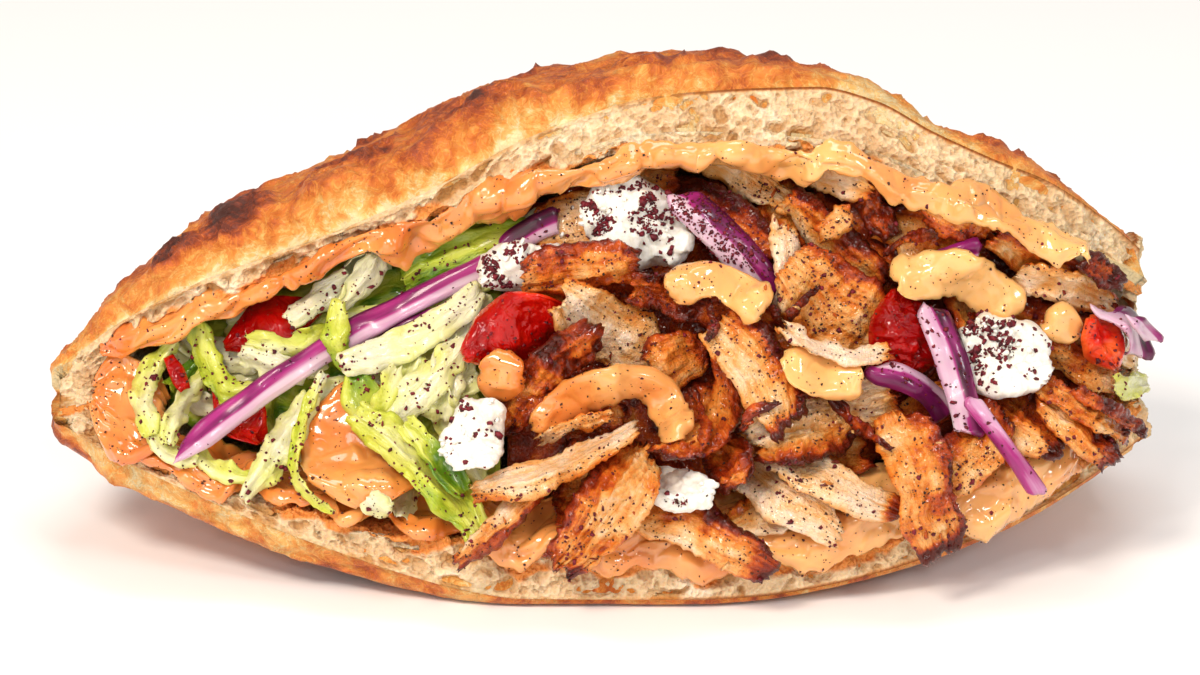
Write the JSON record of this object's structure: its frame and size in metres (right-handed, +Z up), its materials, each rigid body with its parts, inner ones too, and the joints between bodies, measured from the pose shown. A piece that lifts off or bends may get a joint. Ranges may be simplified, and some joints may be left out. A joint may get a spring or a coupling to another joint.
{
  "type": "doner kebab sandwich",
  "caption": "Cut flatbread pocket stuffed with sliced doner meat, lettuce, tomato, red onion, white cheese and sauce, open along its front and one end",
  "frame": {"origin": "on the surface it rests on, under the middle of its box", "axes": "+X along the sandwich, from the closed left end to the open right end; +Y from the mouth to the back; +Z up"},
  "size_m": [0.2304, 0.1262, 0.1045],
  "materials": {
    "bread": "baked flatbread: golden, blistered crust outside and porous pale crumb where it is cut",
    "meat": "roasted meat slices, pale and fibrous inside with dark, glossy edges",
    "lettuce": "shredded iceberg lettuce, pale ribs and crinkled light green leaf, damp",
    "onion": "red onion rings, purple skin and pale pink flesh, smooth and damp",
    "tomato": "ripe tomato pieces, wet glossy red",
    "cheese": "crumbled white brined cheese, matt, with dark red spice flakes",
    "sauce": "thick orange garlic and pepper sauce, glossy, with dark specks"
  },
  "bodies": {
    "root": {"bread": "bread", "cheese_1": "cheese", "cheese_2": "cheese", "cheese_3": "cheese", "cheese_4": "cheese", "cheese_5": "cheese", "lettuce_1": "lettuce", "lettuce_2": "lettuce", "lettuce_3": "lettuce", "lettuce_4": "lettuce", "lettuce_heap": "lettuce", "meat_1": "meat", "meat_10": "meat", "meat_11": "meat", "meat_12": "meat", "meat_13": "meat", "meat_14": "meat", "meat_15": "meat", "meat_16": "meat", "meat_17": "meat", "meat_18": "meat", "meat_19": "meat", "meat_2": "meat", "meat_20": "meat", "meat_21": "meat", "meat_22": "meat", "meat_23": "meat", "meat_24": "meat", "meat_25": "meat", "meat_26": "meat", "meat_27": "meat", "meat_28": "meat", "meat_3": "meat", "meat_4": "meat", "meat_5": "meat", "meat_6": "meat", "meat_7": "meat", "meat_8": "meat", "meat_9": "meat", "meat_heap": "meat", "onion_1": "onion", "onion_2": "onion", "onion_3": "onion", "onion_4": "onion", "onion_5": "onion", "onion_6": "onion", "onion_7": "onion", "onion_8": "onion", "sauce_1": "sauce", "sauce_2": "sauce", "sauce_3": "sauce", "sauce_4": "sauce", "sauce_lower": "sauce", "sauce_pool": "sauce", "sauce_upper": "sauce", "tomato_1": "tomato", "tomato_2": "tomato", "tomato_3": "tomato", "tomato_4": "tomato", "tomato_5": "tomato"}
  },
  "joints": []
}
